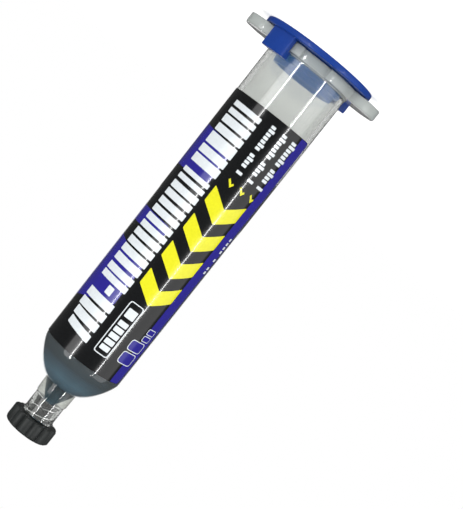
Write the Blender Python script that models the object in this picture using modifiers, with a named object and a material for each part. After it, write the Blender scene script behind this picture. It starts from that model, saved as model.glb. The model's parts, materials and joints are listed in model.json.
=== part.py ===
"""A 30 cc luer-lock dispensing syringe for glue, with its end cap, piston, label and tip cap.

It stands on the flat face of its end cap, with +Z along the barrel towards the tip. The
flange's ears point along X. Lengths are in metres. Every moving piece turns about or slides
along the Z axis, so each object's origin is on its joint's axis.
"""

from math import asin, ceil, cos, pi, radians, sin, sqrt

import bmesh
import bpy

MM = 0.001
FIT_GAP = 0.3 * MM  # left between pieces that touch
SEGMENTS = 48  # sides of every turned piece

# Barrel
BORE_RADIUS = 11.3 * MM
FLANGE_END_RADIUS = 12.7 * MM  # outside, where the tube meets the flange
SHOULDER_RADIUS = 12.4 * MM  # outside, where the shoulder starts
WALL = 1.4 * MM
FLANGE_THICKNESS = 3.1 * MM
TUBE_LENGTH = 100.0 * MM  # from the flange to the shoulder
SHOULDER_HEIGHT = 9.9 * MM
HUB_RADIUS = 5.1 * MM
HUB_TOP_RADIUS = 4.95 * MM
HUB_HEIGHT = 4.6 * MM
THROAT_RADIUS = 3.4 * MM
CHANNEL_RADIUS = 1.25 * MM  # glue passage through the spigot
SPIGOT_BASE_RADIUS = 2.25 * MM
SPIGOT_TIP_RADIUS = 2.0 * MM
SPIGOT_STAND = 1.8 * MM  # how far the spigot stands out of the lock collar
COLLAR_RADIUS = 4.65 * MM
COLLAR_BORE_RADIUS = 4.0 * MM
COLLAR_HEIGHT = 6.5 * MM
THREAD_RADIUS = 0.45 * MM  # half the width of a thread rib
THREAD_LEAD = 5.0 * MM
THREAD_STARTS = 2

# Flange: a round ledge with two ears along X and two bayonet pockets along Y
LEDGE_RADIUS = 14.7 * MM
EAR_REACH = 22.0 * MM
EAR_SHOULDER_REACH = 18.2 * MM
EAR_ROOT_HALF = 7.0 * MM
EAR_SHOULDER_HALF = 6.6 * MM
EAR_TIP_HALF = 2.8 * MM
EAR_CORNER = 1.4 * MM
POCKET_RADIUS = 13.35 * MM
POCKET_HALF_ANGLE = radians(17.5)

# End cap
DISC_RADIUS = 17.75 * MM
DISC_THICKNESS = 1.8 * MM
DISC_EDGE = 0.4 * MM
HOOK_INNER_RADIUS = 15.0 * MM
HOOK_OUTER_RADIUS = 17.0 * MM
HOOK_LIP_RADIUS = 13.7 * MM
HOOK_HALF_ANGLE = radians(15.7)
HOOK_LOCKED_ANGLE = radians(-45.0)  # first hook's direction from +X, locked
HOOK_TOP = 7.85 * MM
PLUG_TOP = 9.0 * MM
PLUG_STEP = 7.1 * MM
PLUG_WALL = 1.5 * MM

# Piston, and the glue in front of it
PISTON_BACK = 23.6 * MM
PISTON_LENGTH = 11.4 * MM
PISTON_WAIST_RADIUS = 10.3 * MM
PISTON_HOLLOW_RADIUS = 9.0 * MM
PISTON_LIP = 1.6 * MM
PISTON_CROWN = 2.4 * MM

# Label
LABEL_LOW = 21.0 * MM
LABEL_TOP_MARGIN = 0.5 * MM  # below the start of the shoulder
LABEL_GAP = 0.05 * MM
LABEL_THICKNESS = 0.15 * MM
LABEL_WINDOW = radians(40.0)  # clear strip along the barrel, centred on -X

# Tip cap
GRIP_RADIUS = 7.1 * MM
GRIP_HEIGHT = 4.8 * MM
GRIP_CHAMFER = 0.55 * MM
GRIP_LOBES = 12
GRIP_GROOVE_DEPTH = 0.55 * MM
GRIP_FIRST_GROOVE = radians(25.0)  # from +X, with the cap screwed home
STEM_RADIUS = 3.2 * MM
LUG_RADIUS = 3.42 * MM
LUG_HEIGHT = 0.9 * MM
LUG_HALF_ANGLE = radians(14.0)

# Heights that follow from the sizes above
FLANGE_LOW = DISC_THICKNESS + FIT_GAP
FLANGE_HIGH = FLANGE_LOW + FLANGE_THICKNESS
SHOULDER_LOW = FLANGE_HIGH + TUBE_LENGTH
HUB_LOW = SHOULDER_LOW + SHOULDER_HEIGHT
COLLAR_LOW = HUB_LOW + HUB_HEIGHT
COLLAR_HIGH = COLLAR_LOW + COLLAR_HEIGHT
SPIGOT_HIGH = COLLAR_HIGH + SPIGOT_STAND
GRIP_LOW = COLLAR_HIGH + FIT_GAP
GRIP_HIGH = GRIP_LOW + GRIP_HEIGHT
PISTON_FRONT = PISTON_BACK + PISTON_LENGTH
COLUMN_HIGH = SHOULDER_LOW - 0.6 * MM

FULL_TURN = 2 * pi

# Colour and alpha, roughness, metallic
FINISHES = {
    "clear_barrel": ((0.80, 0.81, 0.80, 0.35), 0.25, 0.0),
    "blue_cap": ((0.012, 0.055, 0.42, 1.0), 0.38, 0.0),
    "white_piston": ((0.80, 0.80, 0.77, 1.0), 0.45, 0.0),
    "black_glue": ((0.018, 0.020, 0.024, 1.0), 0.20, 0.0),
    "printed_label": ((0.015, 0.015, 0.018, 1.0), 0.30, 0.0),
    "black_cap": ((0.030, 0.032, 0.032, 1.0), 0.55, 0.0),
}


def clear_scene():
    for obj in list(bpy.data.objects):
        bpy.data.objects.remove(obj)


def new_collection(name):
    collection = bpy.data.collections.new(name)
    bpy.context.scene.collection.children.link(collection)
    return collection


def finish_material(name):
    colour, roughness, metallic = FINISHES[name]
    material = bpy.data.materials.new(name)
    material.use_nodes = True
    shader = material.node_tree.nodes["Principled BSDF"]
    shader.inputs["Base Color"].default_value = colour
    shader.inputs["Alpha"].default_value = colour[3]
    shader.inputs["Roughness"].default_value = roughness
    shader.inputs["Metallic"].default_value = metallic
    return material


def arc(radius, start, end):
    """Points along an arc, both ends included, at the spacing of a turned piece's sides."""
    steps = max(1, ceil(abs(end - start) / (FULL_TURN / SEGMENTS) - 1e-6))
    angles = [start + (end - start) * step / steps for step in range(steps + 1)]
    return [(radius * cos(angle), radius * sin(angle)) for angle in angles]


def bezier(start, pull_start, pull_end, end, steps):
    """Points along a cubic curve, without its two ends."""
    points = []
    for step in range(1, steps):
        t = step / steps
        weights = ((1 - t) ** 3, 3 * t * (1 - t) ** 2, 3 * t * t * (1 - t), t**3)
        corners = (start, pull_start, pull_end, end)
        points.append(
            tuple(sum(w * c[axis] for w, c in zip(weights, corners)) for axis in (0, 1))
        )
    return points


def rounded(points, radius, steps=3):
    """The chain of points with each inner corner replaced by a short curve."""
    chain = [points[0]]
    for before, corner, after in zip(points, points[1:], points[2:]):
        ends = []
        for other in (before, after):
            length = sqrt((other[0] - corner[0]) ** 2 + (other[1] - corner[1]) ** 2)
            share = min(radius / length, 0.5)
            ends.append(
                tuple(corner[axis] + (other[axis] - corner[axis]) * share for axis in (0, 1))
            )
        chain.append(ends[0])
        chain += bezier(ends[0], corner, corner, ends[1], steps)
        chain.append(ends[1])
    return chain + [points[-1]]


def turned(name, profile, collection, closed=False):
    """A profile of (radius, height) points turned about Z. It runs down its outer side."""
    edges = [(index, index + 1) for index in range(len(profile) - 1)]
    if closed:
        edges.append((len(profile) - 1, 0))
    mesh = bpy.data.meshes.new(name)
    mesh.from_pydata([(radius, 0.0, height) for radius, height in profile], edges, [])
    obj = bpy.data.objects.new(name, mesh)
    collection.objects.link(obj)
    screw = obj.modifiers.new("Turn", "SCREW")
    screw.axis = "Z"
    screw.angle = FULL_TURN
    screw.steps = SEGMENTS
    screw.render_steps = SEGMENTS
    screw.use_merge_vertices = True
    screw.merge_threshold = 0.01 * MM
    return obj


def as_mesh(helper, collection):
    """The evaluated curve as a closed mesh object with the same place, replacing the curve."""
    bpy.context.view_layer.update()
    graph = bpy.context.evaluated_depsgraph_get()
    mesh = bpy.data.meshes.new_from_object(helper.evaluated_get(graph))
    name = helper.name
    place = helper.matrix_world.copy()
    bpy.data.objects.remove(helper)
    shape = bmesh.new()
    shape.from_mesh(mesh)
    bmesh.ops.remove_doubles(shape, verts=shape.verts, dist=0.001 * MM)
    bmesh.ops.recalc_face_normals(shape, faces=shape.faces)
    shape.to_mesh(mesh)
    shape.free()
    obj = bpy.data.objects.new(name, mesh)
    obj.matrix_world = place
    collection.objects.link(obj)
    return obj


def plate(name, outlines, low, high, collection):
    """Flat outlines, a second one being a hole, extruded between two heights."""
    curve = bpy.data.curves.new(name, "CURVE")
    curve.dimensions = "2D"
    curve.fill_mode = "BOTH"
    curve.extrude = (high - low) / 2
    for outline in outlines:
        spline = curve.splines.new("POLY")
        spline.points.add(len(outline) - 1)
        spline.use_cyclic_u = True
        for point, (x, y) in zip(spline.points, outline):
            point.co = (x, y, 0.0, 1.0)
    helper = bpy.data.objects.new(name, curve)
    helper.location.z = (low + high) / 2
    collection.objects.link(helper)
    return as_mesh(helper, collection)


def helix(name, radius, start_angle, low, high, lead, rib_radius, collection):
    """A round rib that climbs from low to high around Z."""
    steps = ceil((high - low) / lead * SEGMENTS / 2)
    curve = bpy.data.curves.new(name, "CURVE")
    curve.dimensions = "3D"
    curve.bevel_depth = rib_radius
    curve.bevel_resolution = 1
    curve.use_fill_caps = True
    spline = curve.splines.new("POLY")
    spline.points.add(steps)
    for step, point in enumerate(spline.points):
        climb = (high - low) * step / steps
        angle = start_angle + FULL_TURN * climb / lead
        point.co = (radius * cos(angle), radius * sin(angle), low + climb, 1.0)
    helper = bpy.data.objects.new(name, curve)
    collection.objects.link(helper)
    return as_mesh(helper, collection)


def combine(obj, other, operation):
    """Adds a Boolean of obj with a helper, which is kept out of renders."""
    other.hide_render = True
    other.display_type = "WIRE"
    boolean = obj.modifiers.new(f"{operation} {other.name}", "BOOLEAN")
    boolean.operation = operation
    boolean.solver = "EXACT"
    boolean.object = other


def sector(inner, outer, middle, half_angle):
    """The outline of a stretch of ring."""
    outside = arc(outer, middle - half_angle, middle + half_angle)
    inside = arc(inner, middle + half_angle, middle - half_angle)
    return outside + inside


def ear_outline():
    """One ear's edge, from the ledge round its tip and back to the ledge."""
    root = sqrt(LEDGE_RADIUS**2 - EAR_ROOT_HALF**2)
    side = [
        (root, EAR_ROOT_HALF),
        (EAR_SHOULDER_REACH, EAR_SHOULDER_HALF),
        (EAR_REACH, EAR_TIP_HALF),
    ]
    chain = [(x, -y) for x, y in side] + side[::-1]
    return rounded(chain, EAR_CORNER)


def flange_outline():
    """Half of the edge, from one ear to the other, and then the same turned by half a turn."""
    ear_angle = asin(EAR_ROOT_HALF / LEDGE_RADIUS)
    pocket_start = pi / 2 - POCKET_HALF_ANGLE
    pocket_end = pi / 2 + POCKET_HALF_ANGLE
    half = ear_outline()
    half += arc(LEDGE_RADIUS, ear_angle, pocket_start)[1:]
    half += arc(POCKET_RADIUS, pocket_start, pocket_end)
    half += arc(LEDGE_RADIUS, pocket_end, pi - ear_angle)[:-1]
    return half + [(-x, -y) for x, y in half]


def shoulder_curve(start_radius, end_radius, low, high):
    """The rounded shoulder, read from its hub end down to the tube."""
    height = high - low
    end = (end_radius, high)
    pull_end = (end_radius + 0.36 * height, high - 0.13 * height)
    pull_start = (start_radius, low + 0.20 * height)
    return [end, *bezier(end, pull_end, pull_start, (start_radius, low), 9)]


def barrel_profile():
    """Outside from the spigot's tip down to the flange, then back up the bore."""
    annulus_floor = COLLAR_LOW + 0.7 * MM
    mouth_chamfer = 0.3 * MM
    spigot_and_collar = [
        (SPIGOT_TIP_RADIUS, SPIGOT_HIGH),
        (SPIGOT_BASE_RADIUS, annulus_floor),
        (COLLAR_BORE_RADIUS, annulus_floor),
        (COLLAR_BORE_RADIUS, COLLAR_HIGH),
        (COLLAR_RADIUS, COLLAR_HIGH),
        (COLLAR_RADIUS, COLLAR_LOW),
        (HUB_TOP_RADIUS, COLLAR_LOW),
    ]
    outside = [
        *shoulder_curve(SHOULDER_RADIUS, HUB_RADIUS, SHOULDER_LOW, HUB_LOW),
        (SHOULDER_RADIUS, SHOULDER_LOW),
        (FLANGE_END_RADIUS, FLANGE_HIGH),
        (FLANGE_END_RADIUS, FLANGE_LOW),
    ]
    bore = [
        (BORE_RADIUS + mouth_chamfer, FLANGE_LOW),
        (BORE_RADIUS, FLANGE_LOW + mouth_chamfer),
        (SHOULDER_RADIUS - WALL, SHOULDER_LOW),
    ]
    inside = shoulder_curve(SHOULDER_RADIUS - WALL, THROAT_RADIUS, SHOULDER_LOW, HUB_LOW)
    channel = [
        (CHANNEL_RADIUS, COLLAR_LOW),
        (CHANNEL_RADIUS, SPIGOT_HIGH),
    ]
    return spigot_and_collar + outside + bore + inside[::-1] + channel


def make_barrel(parts, helpers):
    """The tube, shoulder, hub, spigot and lock collar, with the eared flange and the thread."""
    barrel = turned("barrel", barrel_profile(), parts, closed=True)
    inside_wall = (BORE_RADIUS + FLANGE_END_RADIUS) / 2
    hole = arc(inside_wall, 0.0, FULL_TURN)[:-1]
    outlines = [flange_outline(), hole]
    flange = plate("flange_plate", outlines, FLANGE_LOW, FLANGE_HIGH, helpers)
    combine(barrel, flange, "UNION")
    thread_low = COLLAR_LOW + 1.3 * MM
    thread_high = COLLAR_HIGH - 0.6 * MM
    for start in range(THREAD_STARTS):
        rib = helix(
            f"thread_rib_{start + 1}",
            COLLAR_BORE_RADIUS + 0.05 * MM,
            FULL_TURN * start / THREAD_STARTS,
            thread_low,
            thread_high,
            THREAD_LEAD,
            THREAD_RADIUS,
            helpers,
        )
        combine(barrel, rib, "UNION")
    return barrel


def make_end_cap(parts, helpers):
    """A disc with a hollow plug for the bore, and two hooks that lock under the flange."""
    plug_radius = BORE_RADIUS - FIT_GAP
    lead_radius = plug_radius - 1.0 * MM
    hollow_radius = lead_radius - PLUG_WALL
    profile = [
        (0.0, DISC_THICKNESS),
        (hollow_radius, DISC_THICKNESS),
        (hollow_radius, PLUG_TOP),
        (lead_radius - 0.4 * MM, PLUG_TOP),
        (lead_radius, PLUG_STEP),
        (plug_radius, PLUG_STEP),
        (plug_radius, DISC_THICKNESS),
        (DISC_RADIUS - DISC_EDGE, DISC_THICKNESS),
        (DISC_RADIUS, DISC_THICKNESS - DISC_EDGE),
        (DISC_RADIUS, DISC_EDGE),
        (DISC_RADIUS - DISC_EDGE, 0.0),
        (0.0, 0.0),
    ]
    end_cap = turned("end_cap", profile, parts)
    lip_low = FLANGE_HIGH + FIT_GAP
    inside_disc = DISC_THICKNESS / 2
    inside_wall = (HOOK_INNER_RADIUS + HOOK_OUTER_RADIUS) / 2
    for number, middle in enumerate((HOOK_LOCKED_ANGLE, HOOK_LOCKED_ANGLE + pi), 1):
        wall = sector(HOOK_INNER_RADIUS, HOOK_OUTER_RADIUS, middle, HOOK_HALF_ANGLE)
        hook = plate(f"hook_wall_{number}", [wall], inside_disc, HOOK_TOP, helpers)
        combine(end_cap, hook, "UNION")
        lip = sector(HOOK_LIP_RADIUS, inside_wall, middle, HOOK_HALF_ANGLE)
        lip = plate(f"hook_lip_{number}", [lip], lip_low, HOOK_TOP, helpers)
        combine(end_cap, lip, "UNION")
    return end_cap


def make_piston(parts):
    """A hollow-backed wiper with a lip at each end."""
    lip_radius = SHOULDER_RADIUS - WALL - FIT_GAP
    edge = 0.5 * MM
    front = PISTON_FRONT
    back = PISTON_BACK
    profile = [
        (0.0, front),
        (lip_radius - 2 * edge, front),
        (lip_radius, front - edge),
        (lip_radius, front - PISTON_LIP),
        (PISTON_WAIST_RADIUS, front - PISTON_LIP - edge),
        (PISTON_WAIST_RADIUS, back + PISTON_LIP + edge),
        (lip_radius, back + PISTON_LIP),
        (lip_radius, back + edge),
        (lip_radius - edge, back),
        (PISTON_HOLLOW_RADIUS, back),
        (PISTON_HOLLOW_RADIUS, front - PISTON_CROWN - edge),
        (PISTON_HOLLOW_RADIUS - edge, front - PISTON_CROWN),
        (0.0, front - PISTON_CROWN),
    ]
    return turned("piston", profile, parts)


def make_glue(parts):
    """The glue between the piston and the shoulder, and the glue that fills the tip."""
    radius = SHOULDER_RADIUS - WALL - FIT_GAP
    low = PISTON_FRONT + FIT_GAP
    column_profile = [(0.0, COLUMN_HIGH), (radius, COLUMN_HIGH), (radius, low), (0.0, low)]
    column = turned("glue_column", column_profile, parts)
    tip_low = COLUMN_HIGH + FIT_GAP
    shoulder = shoulder_curve(radius, THROAT_RADIUS - FIT_GAP, SHOULDER_LOW, HUB_LOW)
    passage_radius = CHANNEL_RADIUS - FIT_GAP
    tip_profile = [
        (0.0, SPIGOT_HIGH - FIT_GAP),
        (passage_radius, SPIGOT_HIGH - FIT_GAP),
        (passage_radius, COLLAR_LOW),
        *shoulder,
        (radius, SHOULDER_LOW),
        (radius, tip_low),
        (0.0, tip_low),
    ]
    return column, turned("glue_tip", tip_profile, parts)


def tube_radius(height):
    """The tapering tube's outer radius at a height."""
    share = (height - FLANGE_HIGH) / TUBE_LENGTH
    return FLANGE_END_RADIUS + (SHOULDER_RADIUS - FLANGE_END_RADIUS) * share


def make_label(parts, helpers):
    """A film wrapped round the tube, open over a clear strip on the -X side."""
    high = SHOULDER_LOW - LABEL_TOP_MARGIN
    inner_low = tube_radius(LABEL_LOW) + LABEL_GAP
    inner_high = tube_radius(high) + LABEL_GAP
    profile = [
        (inner_high + LABEL_THICKNESS, high),
        (inner_low + LABEL_THICKNESS, LABEL_LOW),
        (inner_low, LABEL_LOW),
        (inner_high, high),
    ]
    label = turned("label", profile, parts, closed=True)
    beyond = 2 * FLANGE_END_RADIUS
    half = LABEL_WINDOW / 2
    wedge = [(0.0, 0.0), *arc(beyond, pi - half, pi + half)]
    margin = 2 * MM
    cutter = plate("window_cutter", [wedge], LABEL_LOW - margin, high + margin, helpers)
    combine(label, cutter, "DIFFERENCE")
    return label


def grip_outline():
    """Broad lobes with narrow grooves between them."""
    per_lobe = 8
    count = GRIP_LOBES * per_lobe
    points = []
    for index in range(count):
        turn = FULL_TURN * index / count
        groove = abs(cos(turn * GRIP_LOBES / 2)) ** 6
        radius = GRIP_RADIUS - GRIP_GROOVE_DEPTH * groove
        angle = turn + GRIP_FIRST_GROOVE
        points.append((radius * cos(angle), radius * sin(angle)))
    return points


def make_tip_cap(parts, helpers):
    """A lobed grip with a chamfered rim, a stem with two lugs, and a socket for the spigot."""
    stem_low = COLLAR_LOW + 1.2 * MM
    middle = (GRIP_LOW + GRIP_HIGH) / 2
    socket_high = SPIGOT_HIGH + FIT_GAP
    profile = [
        (0.0, GRIP_HIGH),
        (GRIP_RADIUS - GRIP_CHAMFER, GRIP_HIGH),
        (GRIP_RADIUS, GRIP_HIGH - GRIP_CHAMFER),
        (GRIP_RADIUS, GRIP_LOW + GRIP_CHAMFER / 2),
        (GRIP_RADIUS - GRIP_CHAMFER / 2, GRIP_LOW),
        (0.0, GRIP_LOW),
    ]
    tip_cap = turned("tip_cap", profile, parts)
    margin = 1 * MM
    lobes = plate("grip_lobes", [grip_outline()], GRIP_LOW - margin, GRIP_HIGH + margin, helpers)
    combine(tip_cap, lobes, "INTERSECT")
    stem = [(0.0, middle), (STEM_RADIUS, middle), (STEM_RADIUS, stem_low), (0.0, stem_low)]
    combine(tip_cap, turned("stem", stem, helpers), "UNION")
    lug_low = stem_low + 0.3 * MM
    inside_stem = STEM_RADIUS - 0.4 * MM
    for number, angle in enumerate((0.0, pi), 1):
        lug = sector(inside_stem, LUG_RADIUS, angle, LUG_HALF_ANGLE)
        lug = plate(f"lug_{number}", [lug], lug_low, lug_low + LUG_HEIGHT, helpers)
        combine(tip_cap, lug, "UNION")
    socket = [
        (0.0, socket_high),
        (SPIGOT_TIP_RADIUS + FIT_GAP, socket_high),
        (SPIGOT_BASE_RADIUS + FIT_GAP, stem_low - margin),
        (0.0, stem_low - margin),
    ]
    combine(tip_cap, turned("socket_cutter", socket, helpers), "DIFFERENCE")
    return tip_cap


def main():
    clear_scene()
    parts = new_collection("glue_syringe")
    helpers = new_collection("cutters")
    column, tip = make_glue(parts)
    finished = {
        "clear_barrel": [make_barrel(parts, helpers)],
        "blue_cap": [make_end_cap(parts, helpers)],
        "white_piston": [make_piston(parts)],
        "black_glue": [column, tip],
        "printed_label": [make_label(parts, helpers)],
        "black_cap": [make_tip_cap(parts, helpers)],
    }
    for name, objects in finished.items():
        material = finish_material(name)
        for obj in objects:
            obj.data.materials.append(material)


main()
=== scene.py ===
"""A filled glue syringe with its end cap, label and tip cap, on a plain studio floor.

It is laid out as an add-on and run as a script. Lengths are in metres. The syringe stands on
its end cap with +Z towards the tip, and its printed side faces -Y.
"""

import json
from math import asin, atan2, cos, pi, radians, sin, sqrt

import bmesh
import bpy
from bpy.props import FloatProperty, FloatVectorProperty, IntProperty, PointerProperty
from mathutils import Matrix, Vector

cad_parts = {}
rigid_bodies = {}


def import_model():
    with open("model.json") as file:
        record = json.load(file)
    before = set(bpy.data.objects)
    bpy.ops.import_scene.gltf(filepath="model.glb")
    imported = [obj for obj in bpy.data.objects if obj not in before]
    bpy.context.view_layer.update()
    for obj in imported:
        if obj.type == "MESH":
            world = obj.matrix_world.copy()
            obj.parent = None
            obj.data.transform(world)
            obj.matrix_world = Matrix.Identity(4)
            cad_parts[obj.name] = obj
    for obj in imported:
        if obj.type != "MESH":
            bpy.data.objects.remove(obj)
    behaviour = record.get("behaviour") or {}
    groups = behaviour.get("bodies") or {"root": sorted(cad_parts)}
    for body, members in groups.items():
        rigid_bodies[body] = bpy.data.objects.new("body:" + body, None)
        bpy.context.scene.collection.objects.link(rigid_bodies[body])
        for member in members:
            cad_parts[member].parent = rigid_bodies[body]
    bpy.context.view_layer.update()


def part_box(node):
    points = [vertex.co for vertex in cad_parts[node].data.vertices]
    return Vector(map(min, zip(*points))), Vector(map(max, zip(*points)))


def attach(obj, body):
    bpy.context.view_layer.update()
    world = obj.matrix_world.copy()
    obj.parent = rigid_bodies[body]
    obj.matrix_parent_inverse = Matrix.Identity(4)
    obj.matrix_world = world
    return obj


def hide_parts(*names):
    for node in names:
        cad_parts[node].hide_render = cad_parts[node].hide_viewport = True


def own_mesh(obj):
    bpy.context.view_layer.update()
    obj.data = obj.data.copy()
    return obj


bl_info = {
    "name": "Glue syringe",
    "version": (1, 0, 0),
    "blender": (4, 5, 0),
    "location": "3D View > Sidebar > Glue syringe",
    "description": "Models a filled 30 cc glue syringe and a plain studio round it",
    "category": "Object",
}

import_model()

MM = 0.001
SIDES = 128  # round a turned piece
FULL_TURN = 2 * pi
SAME_POINT = 0.0005 * MM  # doubles closer than this are merged
BEYOND = 1 * MM  # how far a cutter stands past what it cuts
WHITE_LIGHT = (1.0, 1.0, 1.0, 1.0)

BARREL_LOW, BARREL_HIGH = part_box("barrel")
CAP_LOW, CAP_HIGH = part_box("end_cap")
PISTON_LOW, PISTON_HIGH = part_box("piston")
COLUMN_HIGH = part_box("glue_column")[1]
TIP_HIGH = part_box("glue_tip")[1]
LABEL_LOW, LABEL_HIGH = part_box("label")
GRIP_LOW, GRIP_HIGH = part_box("tip_cap")

# Heights along the barrel
FLANGE_LOW = BARREL_LOW.z
FLANGE_HIGH = FLANGE_LOW + 3.1 * MM
SHOULDER_LOW = COLUMN_HIGH.z + 0.6 * MM
HUB_LOW = SHOULDER_LOW + 9.9 * MM
COLLAR_LOW = HUB_LOW + 4.6 * MM
COLLAR_HIGH = COLLAR_LOW + 6.5 * MM
FUNNEL_LOW, FUNNEL_HIGH = HUB_LOW + 3.9 * MM, HUB_LOW + 4.6 * MM
SPIGOT_HIGH = BARREL_HIGH.z
DISC_TOP = FLANGE_LOW - 0.3 * MM

# Radii of the barrel
BORE_AT_FLANGE = 11.3 * MM
TUBE_AT_FLANGE = 12.7 * MM
TUBE_AT_SHOULDER = 12.4 * MM
BORE_AT_SHOULDER = TUBE_AT_SHOULDER - 1.4 * MM
THROAT = 3.4 * MM
CHANNEL = 1.25 * MM
FUNNEL_FLARE = 0.35 * MM  # how much wider the channel is where it starts to narrow
COLLAR_BORE = 4.0 * MM

PRINT_STEP = radians(3.0)  # between the folds of a sheet that is wrapped round the tube


# ---- Modelling by hand, in code ----


def only(obj):
    """Selects one object and makes it active."""
    bpy.ops.object.select_all(action="DESELECT")
    obj.select_set(True)
    bpy.context.view_layer.objects.active = obj
    return obj


def edit(obj):
    """Opens an object's mesh for editing with nothing selected."""
    only(obj)
    bpy.ops.object.mode_set(mode="EDIT")
    bpy.ops.mesh.select_mode(type="VERT")
    bpy.ops.mesh.select_all(action="DESELECT")


def close_edit():
    """Leaves edit mode."""
    bpy.ops.object.mode_set(mode="OBJECT")


def pick_edges(obj, wanted):
    """Selects the open mesh's edges that pass a test."""
    bpy.ops.mesh.select_mode(type="EDGE")
    bpy.ops.mesh.select_all(action="DESELECT")
    shape = bmesh.from_edit_mesh(obj.data)
    found = [edge for edge in shape.edges if wanted(edge)]
    for edge in found:
        edge.select_set(True)
    shape.select_flush_mode()
    bmesh.update_edit_mesh(obj.data)
    if not found:
        raise RuntimeError(f"{obj.name}: nothing to work on was found")


def outward():
    """Merges the open mesh's doubles and turns its faces outwards."""
    bpy.ops.mesh.select_all(action="SELECT")
    bpy.ops.mesh.remove_doubles(threshold=SAME_POINT)
    bpy.ops.mesh.normals_make_consistent(inside=False)


def close_ends(ring=False):
    """Fills each open end of the open mesh, or joins the two ends of a ring."""
    bpy.ops.mesh.select_all(action="DESELECT")
    bpy.ops.mesh.select_non_manifold()
    if ring:
        bpy.ops.mesh.bridge_edge_loops()
    else:
        bpy.ops.mesh.edge_face_add()


def place_in_mesh():
    """Moves the active object's place into its mesh."""
    bpy.ops.object.transform_apply(location=True, rotation=True, scale=True)


def modify(obj, name, kind, **values):
    """Puts a modifier on an object, sets its values and applies it."""
    only(obj)
    modifier = obj.modifiers.new(name, kind)
    for key, value in values.items():
        setattr(modifier, key, value)
    bpy.ops.object.modifier_apply(modifier=modifier.name)


def turn(name, profile, ring=False):
    """Lathe work: a circle extruded and scaled from one (radius, height) to the next.

    The ends are filled, or joined to each other where the profile is a ring.
    """
    bpy.ops.object.select_all(action="DESELECT")
    radius, height = profile[0]
    bpy.ops.mesh.primitive_circle_add(vertices=SIDES, radius=radius, location=(0, 0, height))
    obj = bpy.context.active_object
    obj.name = obj.data.name = name
    place_in_mesh()
    bpy.ops.object.mode_set(mode="EDIT")
    bpy.ops.mesh.select_mode(type="VERT")
    bpy.ops.mesh.select_all(action="SELECT")
    for next_radius, next_height in profile[1:]:
        bpy.ops.mesh.extrude_region_move(
            TRANSFORM_OT_translate={"value": (0, 0, next_height - height)}
        )
        growth = next_radius / radius
        bpy.ops.transform.resize(
            value=(growth, growth, 1), center_override=(0, 0, next_height)
        )
        radius, height = next_radius, next_height
    close_ends(ring)
    outward()
    close_edit()
    return obj


def new_empty_mesh(name):
    """A mesh object with nothing in it yet, open for editing."""
    bpy.ops.object.select_all(action="DESELECT")
    bpy.ops.mesh.primitive_plane_add(size=1 * MM, location=(0, 0, 0))
    obj = bpy.context.active_object
    obj.name = obj.data.name = name
    bpy.ops.object.mode_set(mode="EDIT")
    bpy.ops.mesh.select_mode(type="VERT")
    bpy.ops.mesh.select_all(action="SELECT")
    bpy.ops.mesh.delete(type="VERT")
    return obj


def draw(points):
    """Draws a closed flat outline into the open mesh, corner by corner, and leaves it selected."""
    bpy.ops.mesh.select_all(action="DESELECT")
    bpy.ops.mesh.primitive_plane_add(size=0.1 * MM, location=points[0])
    bpy.ops.mesh.merge(type="CENTER")
    for before, after in zip(points, points[1:] + points[:1]):
        step = tuple(b - a for a, b in zip(before, after))
        bpy.ops.mesh.extrude_region_move(TRANSFORM_OT_translate={"value": step})
    bpy.ops.mesh.select_linked()
    bpy.ops.mesh.remove_doubles(threshold=SAME_POINT)


def slab(name, points, low, high):
    """A flat outline of (x, y) points, filled and extruded between two heights."""
    obj = new_empty_mesh(name)
    draw([(x, y, low) for x, y in points])
    bpy.ops.mesh.edge_face_add()
    bpy.ops.mesh.extrude_region_move(TRANSFORM_OT_translate={"value": (0, 0, high - low)})
    outward()
    close_edit()
    return obj


def boolean(obj, other, operation):
    """Joins, cuts or crosses obj with a helper, and removes the helper."""
    modify(
        obj, operation.title(), "BOOLEAN", operation=operation, solver="EXACT", object=other
    )
    bpy.data.objects.remove(other)
    if not obj.data.polygons:
        raise RuntimeError(f"{obj.name}: {operation.lower()} left nothing")


def soften(obj, width, segments=2, angle=radians(35.0)):
    """A small round on every edge that turns by more than an angle."""
    modify(
        obj, "Soften", "BEVEL", width=width, segments=segments, limit_method="ANGLE",
        angle_limit=angle, harden_normals=False,
    )


def weld(obj):
    """Merges corners that nearly touch, and fills the small gaps that a join leaves."""
    edit(obj)
    bpy.ops.mesh.select_all(action="SELECT")
    bpy.ops.mesh.remove_doubles(threshold=0.004 * MM)
    bpy.ops.mesh.dissolve_degenerate(threshold=0.002 * MM)
    bpy.ops.mesh.select_all(action="SELECT")
    bpy.ops.mesh.fill_holes(sides=6)
    close_edit()


def smooth(obj, angle=radians(32.0)):
    """Shades a piece smooth, except over edges that turn by more than an angle."""
    only(obj)
    bpy.ops.object.shade_smooth_by_angle(angle=angle)


def finished(obj, material, body, slot, *nodes):
    """Gives a piece its material and body, and hides the solids that it stands for; its slot is not
    used.
    """
    obj.data.materials.clear()
    obj.data.materials.append(material)
    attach(obj, body)
    if nodes:
        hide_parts(*nodes)


def rounded_corner(before, corner, after, radius, steps=4):
    """Points of a short curve that rounds one corner of a flat outline."""
    ends = []
    for other in (before, after):
        reach = sqrt(sum((o - c) ** 2 for o, c in zip(other, corner)))
        part = min(radius / reach, 0.5)
        ends.append(tuple(c + (o - c) * part for o, c in zip(other, corner)))
    points = []
    for step in range(steps + 1):
        t = step / steps
        points.append(tuple(
            (1 - t) ** 2 * a + 2 * t * (1 - t) * c + t**2 * b
            for a, c, b in zip(ends[0], corner, ends[1])
        ))
    return points


def rounded_outline(corners, radius, steps=4):
    """A closed outline with every corner rounded."""
    points = []
    for index, corner in enumerate(corners):
        after = corners[(index + 1) % len(corners)]
        points += rounded_corner(corners[index - 1], corner, after, radius, steps)
    return points


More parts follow.
